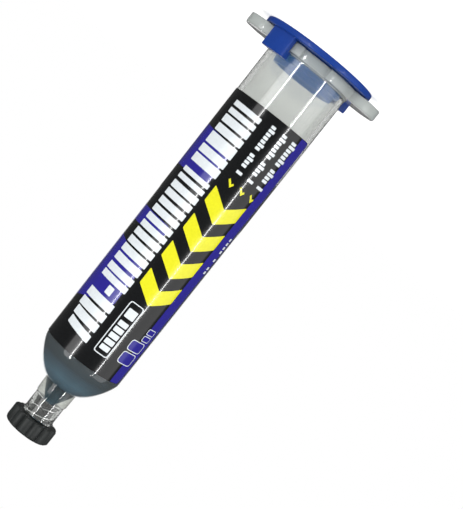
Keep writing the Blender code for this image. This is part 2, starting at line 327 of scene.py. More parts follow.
def rounded_chain(corners, radius, steps=4):
    """An open profile with each inner corner rounded."""
    points = [corners[0]]
    for before, corner, after in zip(corners, corners[1:], corners[2:]):
        points += rounded_corner(before, corner, after, radius, steps)
    return points + [corners[-1]]


def shoulder_curve(start, end, count=14):
    """The rounded shoulder from the tube's radius to the hub's, as (radius, height) points."""
    rise = HUB_LOW - SHOULDER_LOW
    corners = (
        (start, SHOULDER_LOW),
        (start, SHOULDER_LOW + 0.20 * rise),
        (end + 0.36 * rise, HUB_LOW - 0.13 * rise),
        (end, HUB_LOW),
    )
    points = []
    for step in range(count + 1):
        t = step / count
        weights = ((1 - t) ** 3, 3 * t * (1 - t) ** 2, 3 * t * t * (1 - t), t**3)
        points.append(
            tuple(sum(w * c[axis] for w, c in zip(weights, corners)) for axis in (0, 1))
        )
    return points


# ---- Materials ----


def new_material(name, **values):
    """A Principled material and its nodes, with plain values set on the shader's own sockets."""
    material = bpy.data.materials.new(name)
    material.use_nodes = True
    tree = material.node_tree
    shader = tree.nodes["Principled BSDF"]
    for socket, value in values.items():
        shader.inputs[socket.replace("_", " ")].default_value = value
    return material, tree, shader


def add_node(tree, kind, *sources, **values):
    """A shader node, with sources joined to its first sockets and values set on named ones."""
    node = tree.nodes.new("ShaderNode" + kind)
    for socket, source in zip(node.inputs, sources):
        tree.links.new(source, socket)
    for name, value in values.items():
        node.inputs[name.replace("_", " ")].default_value = value
    return node


def calculate(tree, operation, *values):
    """A sum on numbers, each of them plain or from another node."""
    node = add_node(tree, "Math")
    node.operation = operation
    for socket, value in zip(node.inputs, values):
        if isinstance(value, float):
            socket.default_value = value
        else:
            tree.links.new(value, socket)
    return node.outputs["Value"]


def object_place(tree):
    """Object coordinates."""
    return add_node(tree, "TexCoord").outputs["Object"]


def add_noise(tree, scale, detail=3.0, roughness=0.5, stretch=(1.0, 1.0, 1.0)):
    """Noise on object coordinates. The scale is in repeats to the metre."""
    mapping = add_node(tree, "Mapping", object_place(tree), Scale=stretch)
    noise = add_node(
        tree, "TexNoise", mapping.outputs["Vector"],
        Scale=scale, Detail=detail, Roughness=roughness,
    )
    return noise.outputs["Fac"]


def vary(tree, shader, source, socket, low, high, start=0.25, stop=0.75):
    """Drives a number on the shader from low to high as the source goes from start to stop."""
    spread = add_node(
        tree, "MapRange", source, From_Min=start, From_Max=stop, To_Min=low, To_Max=high
    )
    tree.links.new(spread.outputs["Result"], shader.inputs[socket])


def colour_ramp(tree, source, stops):
    """A ramp of colours, from (share, colour) stops in rising order."""
    ramp = add_node(tree, "ValToRGB", source)
    elements = ramp.color_ramp.elements
    for index, (position, value) in enumerate(stops):
        if index in (0, len(stops) - 1):
            stop = elements[-1 if index else 0]
            stop.position = position
        else:
            stop = elements.new(position)
        stop.color = (*value, 1.0)
    return ramp.outputs["Color"]


def tint(tree, shader, source, dark, light):
    """Drives the base colour between two colours."""
    colours = colour_ramp(tree, source, ((0.3, dark), (0.7, light)))
    tree.links.new(colours, shader.inputs["Base Color"])


def emboss(tree, shader, source, height, strength=1.0):
    """Raises the surface by a small height where the source is bright."""
    bump = add_node(tree, "Bump", Strength=strength, Distance=height)
    tree.links.new(source, bump.inputs["Height"])
    tree.links.new(bump.outputs["Normal"], shader.inputs["Normal"])


def along(tree, stops):
    """A colour that changes with height, from (height, colour) stops in rising order."""
    low, high = stops[0][0], stops[-1][0]
    parts = add_node(tree, "SeparateXYZ", object_place(tree))
    rise = add_node(tree, "MapRange", parts.outputs["Z"], From_Min=low, From_Max=high)
    shares = [((height - low) / (high - low), value) for height, value in stops]
    return colour_ramp(tree, rise.outputs["Result"], shares)


def inside_of(tree, radius):
    """1 within a radius of the axis and above the flange's foot, 0 outside it."""
    place = object_place(tree)
    flat = add_node(tree, "VectorMath", place)
    flat.operation = "MULTIPLY"
    flat.inputs[1].default_value = (1.0, 1.0, 0.0)
    reach = add_node(tree, "VectorMath", flat.outputs["Vector"])
    reach.operation = "LENGTH"
    near = calculate(tree, "LESS_THAN", reach.outputs["Value"], radius)
    parts = add_node(tree, "SeparateXYZ", place)
    above = calculate(tree, "GREATER_THAN", parts.outputs["Z"], FLANGE_LOW)
    return calculate(tree, "MULTIPLY", near, above)


def shade(colour, share):
    """A colour made darker or lighter by a share."""
    return tuple(channel * share for channel in colour)


# ---- Settings ----


def length(name, description, default):
    """A length that a user can change."""
    return FloatProperty(
        name=name, description=description, default=default, min=0.0, unit="LENGTH",
        subtype="DISTANCE", precision=5,
    )


def colour(name, description, default):
    """A colour that a user can change."""
    return FloatVectorProperty(
        name=name, description=description, default=default, size=3, min=0.0, max=1.0,
        subtype="COLOR",
    )


def share(name, description, default):
    """A share from 0 to 1 that a user can change."""
    return FloatProperty(
        name=name, description=description, default=default, min=0.0, max=1.0,
        subtype="FACTOR",
    )


def brightness(name, description, default):
    """A brightness that a user can change."""
    return FloatProperty(name=name, description=description, default=default, min=0.0)


class GlueBarrelSettings(bpy.types.PropertyGroup):
    plastic: colour("Plastic", "Colour of the clear plastic", (0.725, 0.74, 0.72))
    clearness: share("Clearness", "Share of light that goes through the plastic", 0.97)
    milky: colour("Milky plastic", "Colour of the flange's plastic", (0.50, 0.535, 0.515))
    thick: colour("Thick plastic", "Colour of the hub's plastic", (0.56, 0.58, 0.54))
    haze: share("Haze", "How far the plastic blurs what is behind it", 0.07)
    flange_round: length("Flange round", "Round on the flange's rim", 0.4 * MM)
    thread_width: length("Thread width", "Width of one thread rib", 0.9 * MM)
    thread_lead: length("Thread lead", "Climb of the thread in one turn", 5.0 * MM)


class GlueEndCapSettings(bpy.types.PropertyGroup):
    plastic: colour("Plastic", "Colour of the end cap", (0.005, 0.040, 0.255))
    # Painted light: an emitted colour that makes the plug inside the bore glow lighter blue, in
    # place of light through its thin wall
    painted_glow: colour("Glow", "Light that comes through the plug's thin wall", (0.06, 0.20, 0.42))
    edge: length("Edge", "Round on the edges of the hooks", 0.22 * MM)


class GluePistonSettings(bpy.types.PropertyGroup):
    plastic: colour("Plastic", "Colour of the piston", (0.78, 0.78, 0.74))


class GlueFillingSettings(bpy.types.PropertyGroup):
    glue: colour("Glue", "Colour of the glue", (0.017, 0.040, 0.058))


class GlueLabelSettings(bpy.types.PropertyGroup):
    film: colour("Film", "Colour of the film", (0.005, 0.0055, 0.006))
    white: colour("White ink", "Colour of the white ink", (0.62, 0.66, 0.68))
    yellow: colour("Yellow ink", "Colour of the yellow ink", (0.64, 0.62, 0.012))
    blue: colour("Blue ink", "Colour of the blue ink", (0.018, 0.014, 0.22))
    film_thickness: length("Film thickness", "Thickness of the film", 0.12 * MM)
    ink_height: length("Ink height", "How far the ink stands off the film", 0.02 * MM)
    corner: length("Corner", "Round on the film's corners", 1.5 * MM)


class GlueTipCapSettings(bpy.types.PropertyGroup):
    plastic: colour("Plastic", "Colour of the tip cap", (0.017, 0.0195, 0.019))
    lobes: IntProperty(name="Lobes", description="Lobes round the grip", default=12, min=3)
    groove: length("Groove", "Depth of the grooves between the lobes", 0.95 * MM)


class GlueStageSettings(bpy.types.PropertyGroup):
    floor: colour("Floor", "Colour of the floor", (0.90, 0.90, 0.90))
    strip: brightness("Strip brightness", "Brightness of the strip lights", 42.0)
    soft: brightness("Softbox brightness", "Brightness of the softboxes", 1.7)


# ---- Barrel ----


def barrel_profile():
    """Once round the wall: down the outside from the collar, then up the bore."""
    collar, rim = 4.65 * MM, 0.2 * MM
    floor = COLLAR_LOW + 0.7 * MM
    outside = [
        (COLLAR_BORE, floor),
        (COLLAR_BORE, COLLAR_HIGH - 0.25 * MM),
        (COLLAR_BORE + 0.2 * MM, COLLAR_HIGH),
        (collar, COLLAR_HIGH),
        (collar + rim, COLLAR_HIGH - 0.25 * MM),
        (collar + rim, COLLAR_HIGH - 0.8 * MM),
        (collar, COLLAR_HIGH - 1.3 * MM),
        (collar, COLLAR_LOW + 0.12 * MM),
        (4.78 * MM, COLLAR_LOW),
        (4.90 * MM, COLLAR_LOW),
        (4.97 * MM, COLLAR_LOW - 0.12 * MM),
        (5.08 * MM, HUB_LOW + 0.5 * MM),
    ]
    outside += shoulder_curve(TUBE_AT_SHOULDER, 5.15 * MM)[::-1]
    root = TUBE_AT_FLANGE + 0.60 * MM  # inside the flange
    outside += [
        (TUBE_AT_FLANGE, FLANGE_HIGH + 1.1 * MM),
        (TUBE_AT_FLANGE + 0.06 * MM, FLANGE_HIGH + 0.6 * MM),
        (TUBE_AT_FLANGE + 0.22 * MM, FLANGE_HIGH + 0.25 * MM),
        (root, FLANGE_HIGH - 0.15 * MM),
        (root, FLANGE_LOW + 0.8 * MM),
    ]
    bore = [
        (BORE_AT_FLANGE + 0.45 * MM, FLANGE_LOW + 0.8 * MM),
        (BORE_AT_FLANGE + 0.30 * MM, FLANGE_LOW + 0.25 * MM),
        (BORE_AT_FLANGE + 0.06 * MM, FLANGE_LOW + 0.5 * MM),
        (BORE_AT_FLANGE, FLANGE_LOW + 0.9 * MM),
    ]
    bore += shoulder_curve(BORE_AT_SHOULDER, THROAT)
    spigot = [
        (CHANNEL + FUNNEL_FLARE, FUNNEL_LOW),
        (CHANNEL, FUNNEL_HIGH),
        (CHANNEL, SPIGOT_HIGH - 0.15 * MM),
        (CHANNEL + 0.15 * MM, SPIGOT_HIGH),
        (1.85 * MM, SPIGOT_HIGH),
        (2.0 * MM, SPIGOT_HIGH - 0.15 * MM),
        (2.25 * MM, floor + 0.2 * MM),
        (2.45 * MM, floor),
    ]
    return outside + bore + spigot


# One side of an ear, from its root to its tip, in millimetres
EAR_CORNERS = ((12.93, 7.0), (18.2, 6.6), (22.0, 2.8))


def ear_side(sign):
    """One ear's outline, from its root round its tip."""
    chain = [(x * MM, -y * MM) for x, y in EAR_CORNERS]
    chain += [(x * MM, y * MM) for x, y in EAR_CORNERS[::-1]]
    chain = rounded_chain(chain, 1.5 * MM, 5)
    return [(sign * x, sign * y) for x, y in chain]


def ring_part(radius, start, end, step=radians(2.8)):
    """Points of an arc about the axis, from one angle to another."""
    count = max(2, round(abs(end - start) / step))
    angles = [start + (end - start) * index / count for index in range(count + 1)]
    return [(radius * cos(angle), radius * sin(angle)) for angle in angles]


def flange_outline():
    """The ledge with its two ears along X and its two pockets along Y."""
    ledge, pocket, half = 14.7, 13.35 * MM, radians(17.5)
    ear = asin(EAR_CORNERS[0][1] / ledge)
    points = []
    for sign in (1, -1):
        side = ring_part(ledge * MM, ear, pi / 2 - half)[1:]
        side += ring_part(pocket, pi / 2 - half, pi / 2 + half)
        side += ring_part(ledge * MM, pi / 2 + half, pi - ear)[:-1]
        points += ear_side(sign) + [(sign * x, sign * y) for x, y in side]
    return points


def model_flange(rim):
    """The flange's plate, open over the bore, with a rounded rim."""
    obj = slab("flange", flange_outline(), FLANGE_LOW, FLANGE_HIGH)
    edit(obj)
    sharp = radians(60)
    pick_edges(obj, lambda edge: len(edge.link_faces) == 2 and edge.calc_face_angle(0) > sharp)
    bpy.ops.mesh.bevel(offset=rim, segments=3, affect="EDGES", clamp_overlap=True)
    outward()
    close_edit()
    middle = (BORE_AT_FLANGE + TUBE_AT_FLANGE) / 2 + 0.35 * MM
    hole = [(middle, FLANGE_LOW - BEYOND), (middle, FLANGE_HIGH + BEYOND)]
    boolean(obj, turn("flange_hole", hole), "DIFFERENCE")
    return obj


def model_thread(number, width, lead):
    """One rib of the collar's thread: a flat-topped outline swept up round the axis."""
    low, high = COLLAR_LOW + 1.3 * MM, COLLAR_HIGH - 0.6 * MM
    root, crest = width / 2, width * 0.3
    outer, inner = COLLAR_BORE + 0.1 * MM, COLLAR_BORE - 0.38 * MM
    obj = new_empty_mesh(f"thread_{number}")
    draw([
        (outer, 0, low - root), (inner, 0, low - crest),
        (inner, 0, low + crest), (outer, 0, low + root),
    ])
    close_edit()
    modify(
        obj, "Sweep", "SCREW", axis="Z", angle=FULL_TURN * (high - low) / lead,
        screw_offset=high - low, steps=72, render_steps=72, use_merge_vertices=False,
    )
    bpy.ops.object.mode_set(mode="EDIT")
    close_ends()
    outward()
    bpy.ops.transform.rotate(
        value=pi * number, orient_axis="Z", center_override=(0, 0, 0)
    )
    close_edit()
    return obj


class GLUE_OT_barrel(bpy.types.Operator):
    """Models the clear barrel: tube, eared flange, shoulder, hub, spigot and lock collar"""

    bl_idname = "glue.barrel"
    bl_label = "Barrel"

    def execute(self, context):
        sizes = context.scene.glue_barrel
        barrel = turn("clear_barrel", barrel_profile(), ring=True)
        boolean(barrel, model_flange(sizes.flange_round), "UNION")
        for number in (0, 1):
            rib = model_thread(number, sizes.thread_width, sizes.thread_lead)
            boolean(barrel, rib, "UNION")
        smooth(barrel, radians(30.0))
        material, tree, shader = new_material(
            "Clear hazy plastic", Roughness=sizes.haze, IOR=1.49,
            Transmission_Weight=sizes.clearness, Coat_Weight=0.9, Coat_Roughness=0.035,
            Coat_IOR=1.45,
        )
        cloud = add_noise(tree, 160.0, 2.0, 0.5, (1.0, 1.0, 0.35))
        emboss(tree, shader, cloud, 0.02 * MM, 0.3)
        milky_to, clear_from = FLANGE_HIGH - 0.3 * MM, FLANGE_HIGH + 0.6 * MM
        thinness = along(tree, ((milky_to, (0.0, 0.0, 0.0)), (clear_from, (1.0, 1.0, 1.0))))
        look = along(tree, (
            (milky_to, sizes.milky),
            (clear_from, sizes.plastic),
            (HUB_LOW, sizes.plastic),
            (HUB_LOW + 0.8 * MM, sizes.thick),
            (COLLAR_LOW, sizes.thick),
            (COLLAR_LOW + 0.2 * MM, sizes.plastic),
        ))
        tree.links.new(look, shader.inputs["Base Color"])
        vary(tree, shader, thinness, "Transmission Weight", 0.45, sizes.clearness, 0.0, 1.0)
        vary(tree, shader, thinness, "Roughness", 0.35, sizes.haze, 0.0, 1.0)
        finished(barrel, material, "barrel_body", "clear_barrel", "barrel")
        return {"FINISHED"}


# ---- End cap ----


def end_cap_profile():
    """The cap's disc, plug and hollow, from the middle outside to the middle inside."""
    disc, top = CAP_HIGH.x, CAP_HIGH.z
    plug = BORE_AT_FLANGE - 0.3 * MM
    lead = plug - 1.0 * MM
    hollow = lead - 1.5 * MM
    step = top - 1.9 * MM
    outside = [(disc - 1.6 * MM, 0.0), (disc, 0.0), (disc, DISC_TOP), (plug, DISC_TOP)]
    plug_side = [(plug, DISC_TOP + 0.02 * MM), (plug, step), (lead, step), (lead - 0.4 * MM, top)]
    inside = [
        (lead - 0.45 * MM, top), (hollow, top), (hollow, DISC_TOP), (hollow - 1.2 * MM, DISC_TOP),
    ]
    return (
        rounded_chain(outside, 0.55 * MM, 5)
        + rounded_chain(plug_side, 0.18 * MM, 3)
        + rounded_chain(inside, 0.2 * MM, 3)
    )


def model_hook(middle, edge):
    """A bayonet hook: an L section spun about the axis, with soft edges."""
    half = radians(15.7)
    inner, outer, lip = 15.0 * MM, 17.0 * MM, 13.7 * MM
    foot, top = DISC_TOP * 0.5, 7.85 * MM
    under = FLANGE_HIGH + 0.3 * MM
    section = [(inner, foot), (outer, foot), (outer, top), (lip, top), (lip, under), (inner, under)]
    obj = new_empty_mesh("hook")
    draw([(radius, 0.0, height) for radius, height in section])
    bpy.ops.mesh.edge_face_add()
    bpy.ops.transform.rotate(value=-half, orient_axis="Z", center_override=(0, 0, 0))
    bpy.ops.mesh.spin(steps=10, angle=2 * half, center=(0, 0, 0), axis=(0, 0, 1))
    outward()
    close_edit()
    angles = [atan2(v.co.y, v.co.x) for v in obj.data.vertices]
    centred = Matrix.Rotation(-(min(angles) + max(angles)) / 2, 4, "Z")
    obj.matrix_world = Matrix.Rotation(middle, 4, "Z") @ centred
    only(obj)
    place_in_mesh()
    soften(obj, edge, 3, radians(50.0))
    return obj


class GLUE_OT_end_cap(bpy.types.Operator):
    """Models the blue twist-lock end cap with its hooks and plug"""

    bl_idname = "glue.end_cap"
    bl_label = "End cap"

    def execute(self, context):
        sizes = context.scene.glue_end_cap
        cap = turn("blue_end_cap", end_cap_profile())
        for middle in (radians(-45.0), radians(135.0)):
            boolean(cap, model_hook(middle, sizes.edge), "UNION")
        weld(cap)
        smooth(cap)
        material, tree, shader = new_material(
            "Blue moulded plastic", Roughness=0.34, IOR=1.5, Specular_IOR_Level=0.3,
            Coat_Weight=0.1, Coat_Roughness=0.12, Emission_Color=(*sizes.painted_glow, 1.0),
        )
        cloud = add_noise(tree, 220.0, 3.0)
        tint(tree, shader, cloud, shade(sizes.plastic, 0.88), sizes.plastic)
        grain = add_noise(tree, 2600.0, 2.0)
        vary(tree, shader, grain, "Roughness", 0.27, 0.42)
        # Painted light: the plug inside the bore glows with the painted glow colour
        plug = inside_of(tree, BORE_AT_FLANGE)
        vary(tree, shader, plug, "Emission Strength", 0.0, 0.5, 0.0, 1.0)
        emboss(tree, shader, grain, 0.012 * MM, 0.5)
        finished(cap, material, "end_cap_body", "blue_cap", "end_cap")
        return {"FINISHED"}


# ---- Piston and glue ----


def piston_profile():
    """The piston's wall: its hollow back, then its two lips and its flat front."""
    back, front, lip = PISTON_LOW.z, PISTON_HIGH.z, PISTON_HIGH.x
    waist, hollow, middle = lip - 0.4 * MM, lip - 1.7 * MM, 1.2 * MM
    outside = [
        (hollow, back),
        (lip - 0.3 * MM, back),
        (lip, back + 0.7 * MM),
        (lip, back + 1.6 * MM),
        (waist, back + 2.1 * MM),
        (waist, front - 2.1 * MM),
        (lip, front - 1.6 * MM),
        (lip, front - 0.6 * MM),
        (lip - 0.9 * MM, front),
        (middle, front),
    ]
    floor = front - 2.4 * MM
    inside = [(middle, floor), (hollow - 0.1 * MM, floor), (hollow - 0.02 * MM, back + 0.1 * MM)]
    return rounded_chain(inside, 0.8 * MM, 4) + rounded_chain(outside, 0.25 * MM, 3)


class GLUE_OT_piston(bpy.types.Operator):
    """Models the white piston with its two wiping lips"""

    bl_idname = "glue.piston"
    bl_label = "Piston"

    def execute(self, context):
        sizes = context.scene.glue_piston
        piston = turn("white_piston", piston_profile())
        smooth(piston)
        material, tree, shader = new_material(
            "White moulded plastic", Roughness=0.42, IOR=1.5, Subsurface_Weight=0.15,
            Subsurface_Scale=0.8 * MM,
        )
        cloud = add_noise(tree, 300.0, 3.0)
        tint(tree, shader, cloud, shade(sizes.plastic, 0.95), sizes.plastic)
        vary(tree, shader, cloud, "Roughness", 0.36, 0.48)
        finished(piston, material, "piston_body", "white_piston", "piston")
        return {"FINISHED"}


def bore_radius(height):
    """The tapering bore's radius at a height."""
    rise = (height - FLANGE_HIGH) / (SHOULDER_LOW - FLANGE_HIGH)
    return BORE_AT_FLANGE + (BORE_AT_SHOULDER - BORE_AT_FLANGE) * rise


class GLUE_OT_glue(bpy.types.Operator):
    """Models the glue: the column in the tube, and the filling of shoulder and tip"""

    bl_idname = "glue.filling"
    bl_label = "Glue"

    def execute(self, context):
        sizes = context.scene.glue_filling
        wet = 0.02 * MM  # into the wall, so that no air shows between
        low, high = PISTON_HIGH.z + 0.03 * MM, COLUMN_HIGH.z
        column_profile = [
            (9.0 * MM, low),
            (bore_radius(low) - 0.25 * MM, low),
            (bore_radius(low) + wet, low + 0.25 * MM),
            (bore_radius(high) + wet, high),
        ]
        column = turn("glue_in_tube", column_profile)
        shoulder = [
            (radius + wet, height)
            for radius, height in shoulder_curve(BORE_AT_SHOULDER, THROAT)
        ]
        channel = CHANNEL + wet
        top = TIP_HIGH.z
        tip_profile = [(bore_radius(high) + wet, high), *shoulder]
        tip_profile += [
            (channel + FUNNEL_FLARE, FUNNEL_LOW),
            (channel, FUNNEL_HIGH),
            (channel, top - 0.25 * MM),
            (channel * 0.75, top - 0.08 * MM),
            (channel * 0.3, top),
        ]
        tip = turn("glue_in_tip", tip_profile)
        material, tree, shader = new_material(
            "Black glue", Roughness=0.3, IOR=1.46, Coat_Weight=0.0
        )
        # Painted light and shade: the black glue is painted lighter up the shoulder and in the
        # collar, where light through the hazy wall shows, and darker at the column's top and in a
        # ring at the hub's mouth
        depth = along(tree, (
            (COLUMN_HIGH.z, shade(sizes.glue, 0.8)),
            (SHOULDER_LOW + 2.5 * MM, shade(sizes.glue, 1.1)),
            (HUB_LOW - 3.5 * MM, shade(sizes.glue, 4.2)),
            (HUB_LOW - 0.6 * MM, shade(sizes.glue, 3.4)),
            (HUB_LOW + 0.3 * MM, shade(sizes.glue, 0.9)),
            (COLLAR_LOW, shade(sizes.glue, 2.6)),
        ))
        tree.links.new(depth, shader.inputs["Base Color"])
        cloud = add_noise(tree, 120.0, 4.0, 0.6)
        vary(tree, shader, cloud, "Roughness", 0.25, 0.4)
        for obj in (column, tip):
            smooth(obj)
        finished(column, material, "barrel_body", "black_glue", "glue_column")
        finished(tip, material, "barrel_body", "black_glue", "glue_tip")
        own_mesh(column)
        return {"FINISHED"}


# ---- Label ----

TAPER = (TUBE_AT_FLANGE - TUBE_AT_SHOULDER) / (SHOULDER_LOW - FLANGE_HIGH)
FACING_RADIUS = TUBE_AT_FLANGE + TAPER * FLANGE_HIGH + 0.17 * MM  # the film's outside at z 0
MIDDLE_RADIUS = FACING_RADIUS - TAPER * 60 * MM  # halfway along the film
FILM_LEFT = radians(250.0)  # from the facing line round by +X
FILM_RIGHT = radians(-70.0)


def across(seen):
    """Flat distance on the film for a distance seen to the right of the facing line."""
    return -FACING_RADIUS * asin(max(-1.0, min(1.0, seen * MM / MIDDLE_RADIUS)))


def wrap(obj):
    """Folds a flat sheet every few degrees and wraps it round the tapering tube."""
    edit(obj)
    left = max(v.co.x for v in obj.data.vertices)
    right = min(v.co.x for v in obj.data.vertices)
    step = FACING_RADIUS * PRINT_STEP
    for number in range(int(right // step) + 1, int(left // step) + 1):
        bpy.ops.mesh.select_all(action="SELECT")
        bpy.ops.mesh.bisect(plane_co=(number * step, 0, 0), plane_no=(1, 0, 0))
    outward()
    close_edit()
    xs = [v.co.x for v in obj.data.vertices]
    modify(
        obj, "Wrap", "SIMPLE_DEFORM", deform_method="BEND", deform_axis="Z",
        angle=(max(xs) - min(xs)) / FACING_RADIUS,
    )
    obj.location.y = -FACING_RADIUS
    bpy.ops.object.transform_apply(location=True, rotation=False, scale=False)
    zs = [v.co.z for v in obj.data.vertices]
    modify(
        obj, "Taper", "SIMPLE_DEFORM", deform_method="TAPER", deform_axis="Z",
        factor=-TAPER / FACING_RADIUS * (max(zs) - min(zs)),
    )
    smooth(obj, radians(40.0))


def sheet_of(name, outlines, front, back):
    """Flat shapes of (x, z) points, filled and extruded from front to back along Y."""
    obj = new_empty_mesh(name)
    for points in outlines:
        draw([(x, front, z) for x, z in points])
        bpy.ops.mesh.edge_face_add()
    bpy.ops.mesh.select_all(action="SELECT")
    bpy.ops.mesh.select_mode(type="FACE")
    bpy.ops.mesh.extrude_region_move(
        TRANSFORM_OT_translate={"value": (0, back - front, 0)}
    )
    bpy.ops.mesh.select_mode(type="VERT")
    outward()
    close_edit()
    return obj


def rectangle(left, right, low, high):
    """The four corners of an upright patch."""
    return [(left, low), (right, low), (right, high), (left, high)]


def block(left, right, low, high, slant=0.0, corner=0.25):
    """A four-sided patch of print. Its right end is shifted along the barrel by the slant."""
    x_left, x_right = across(left), across(right)
    corners = [
        (x_left, low * MM),
        (x_right, (low + slant) * MM),
        (x_right, (high + slant) * MM),
        (x_left, high * MM),
    ]
    return rounded_outline(corners, corner * MM, 3)


# (low, high) of the headline's bars along the barrel, in millimetres
HEADLINE = (
    (23.6, 25.2), (26.0, 27.6), (28.2, 30.5), (31.2, 33.4), (34.0, 37.4), (38.1, 40.5),
    (41.1, 43.7), (45.8, 47.2), (48.0, 49.5), (50.5, 52.6), (53.2, 55.2), (56.0, 58.0),
    (58.7, 60.7), (61.5, 63.4), (64.1, 65.9), (66.6, 68.7), (69.4, 71.5), (72.1, 74.3),
    (75.0, 77.3), (78.3, 80.4), (80.9, 82.8), (86.9, 89.5), (90.2, 92.7),
)
HEADLINE_SIDES = (-10.4, -1.8)  # seen distances of its two edges from the facing line
NOTE_COLUMNS = (1.2, 4.9, 8.1)  # and of each short note
# White outlines: seen left and right, low, high, corner and line
FRAMES = (
    (0.6, 5.05, 83.0, 99.9, 0.9, 0.28),
    (7.5, 11.2, 95.1, 98.9, 1.0, 0.22),
    (7.5, 11.2, 91.2, 94.6, 1.0, 0.22),
    (9.4, 11.3, 88.9, 90.7, 0.5, 0.2),
    (9.4, 11.3, 86.6, 88.5, 0.5, 0.2),
)


def white_shapes():
    """The headline's bars, the dashes of the notes and the blocks in the note's frame."""
    left, right = HEADLINE_SIDES
    shapes = [block(left, right, low, high, 0.35) for low, high in HEADLINE]
    shapes.append(block(-6.6, -4.7, 83.6, 86.1, 0.1))
    shapes.append(block(-10.0, right, 93.1, 95.6, 0.7))
    shapes.append(block(-9.6, right, 96.2, 98.5, 1.3))
    for column in NOTE_COLUMNS:
        shapes += note(column, 23.3, 40.2)
    first, pitch = 88.9, 2.0
    for number in range(5):
        low = first + pitch * number
        shapes.append(block(1.5, 4.3, low, low + 1.55, 0.0, 0.2))
    shapes.append(block(1.5, 4.4, 84.9, 87.7, 0.0, 0.3))
    first, pitch = 54.1, 1.4
    for number in (0, 1, 2, 3, 5, 7, 8):
        low = first + pitch * number
        shapes.append(block(11.35, 11.75, low, low + 0.9, 0.0, 0.05))
    return shapes


def note(column, low, high):
    """A row of short dashes in place of small print, with two gaps."""
    shapes = []
    pitch, gaps = 1.15, (7, 12)
    for number in range(int((high - low) / pitch)):
        if number not in gaps:
            start = low + pitch * number
            reach = (1.35, 1.75, 1.35, 1.35)[number % 4]
            shapes.append(block(column, column + reach, start, start + 0.85, 0.0, 0.12))
    return shapes


def yellow_shapes():
    """Four large chevrons that point to the tip, and a tick above each note."""
    shapes = []
    x_left, x_right = across(-0.7), across(9.6)
    x_middle = (x_left + x_right) / 2
    first, pitch, arm, point = 45.0, 9.3, 5.0, 3.9
    for number in range(4):
        low = first + pitch * number
        corners = [
            (x_left, low * MM),
            (x_middle, (low + point) * MM),
            (x_right, low * MM),
            (x_right, (low + arm) * MM),
            (x_middle, (low + arm + point) * MM),
            (x_left, (low + arm) * MM),
        ]
        shapes.append(rounded_outline(corners, 0.3 * MM, 3))
    tick = [(0.9, 41.2), (1.2, 41.7), (-0.3, 43.4), (-1.0, 42.3), (-0.6, 41.9), (-0.25, 42.4)]
    for column in NOTE_COLUMNS:
        x = across(column + 0.9)
        shapes.append([(x + a * MM, z * MM) for a, z in tick])
    return shapes


def blue_shapes():
    """The band down the film's right edge and three patches on its left."""
    low, high = LABEL_LOW.z / MM, LABEL_HIGH.z / MM
    inner, edge = across(9.7), FACING_RADIUS * FILM_RIGHT + 0.1 * MM
    band = rectangle(inner, edge, (low + 0.1) * MM, (high - 0.1) * MM)
    corner = 1.4 * MM
    shapes = [
        [band[0]]
        + rounded_corner(band[0], band[1], band[2], corner)
        + rounded_corner(band[1], band[2], band[3], corner)
        + [band[3]]
    ]
    far = FACING_RADIUS * radians(118.0)
    for near, start, end, rise in (
        (-2.6, 32.6, 46.8, 3.2), (-3.2, 60.6, 66.0, 1.6), (-2.4, 69.6, 94.4, -6.6),
    ):
        corners = [
            (far, start * MM),
            (across(near), (start + abs(rise) * 0.6) * MM),
            (across(near), (end + min(rise, 0.0)) * MM),
            (far, end * MM),
        ]
        shapes.append(rounded_outline(corners, 1.2 * MM, 5))
    return shapes


def framed_shapes(inset):
    """The outlines of the frames, drawn smaller by a share of their line."""
    shapes = []
    for left, right, low, high, corner, line in FRAMES:
        inward = inset * line
        x_left, x_right = across(left) - inward * MM, across(right) + inward * MM
        corners = rectangle(x_left, x_right, (low + inward) * MM, (high - inward) * MM)
        shapes.append(rounded_outline(corners, (corner - inward * 0.6) * MM, 4))
    return shapes


def print_material(name, ink, gloss=0.16):
    """Glossy laminated print. The gloss ripples as a film on a tube does."""
    material, tree, shader = new_material(
        name, Roughness=gloss, IOR=1.5, Coat_Weight=0.5, Coat_Roughness=0.03
    )
    ripple = add_noise(tree, 70.0, 2.0, 0.4, (1.0, 1.0, 0.3))
    grain = add_noise(tree, 1500.0, 3.0)
    tint(tree, shader, grain, shade(ink, 0.93), ink)
    vary(tree, shader, grain, "Roughness", gloss - 0.02, gloss + 0.05)
    emboss(tree, shader, ripple, 0.03 * MM, 0.35)
    return material


class GLUE_OT_label(bpy.types.Operator):
    """Models the film label, flat with rounded corners and then wrapped round the tube"""

    bl_idname = "glue.label"
    bl_label = "Label film"

    def execute(self, context):
        sizes = context.scene.glue_label
        x_left, x_right = FACING_RADIUS * FILM_LEFT, FACING_RADIUS * FILM_RIGHT
        low, high = LABEL_LOW.z, LABEL_HIGH.z
        outline = rounded_outline(rectangle(x_left, x_right, low, high), sizes.corner, 6)
        film = sheet_of("label_film", [outline], 0.0, sizes.film_thickness)
        wrap(film)
        finished(
            film, print_material("Black film", sizes.film), "barrel_body", "printed_label",
            "label",
        )
        return {"FINISHED"}


class GLUE_OT_print(bpy.types.Operator):
    """Models the label's generic print as thin ink on the film, one piece to a colour"""

    bl_idname = "glue.print"
    bl_label = "Label print"

    def execute(self, context):
        sizes = context.scene.glue_label
        ink = sizes.ink_height
        layers = (
            ("blue_print", blue_shapes(), 0.6, sizes.blue),
            ("frame_print", framed_shapes(0.0), 1.0, sizes.white),
            ("note_frame_inside", framed_shapes(1.0)[:1], 1.4, sizes.film),
            ("seal_inside", framed_shapes(1.0)[1:], 1.4, sizes.blue),
            ("white_print", white_shapes(), 1.8, sizes.white),
            ("yellow_print", yellow_shapes(), 1.2, sizes.yellow),
        )
        for name, shapes, level, ink_colour in layers:
            piece = sheet_of(name, shapes, -ink * level, ink)
            wrap(piece)
            material = print_material(name.replace("_", " ").capitalize(), ink_colour, 0.2)
            finished(piece, material, "barrel_body", "printed_label")
        return {"FINISHED"}


# ---- Tip cap ----


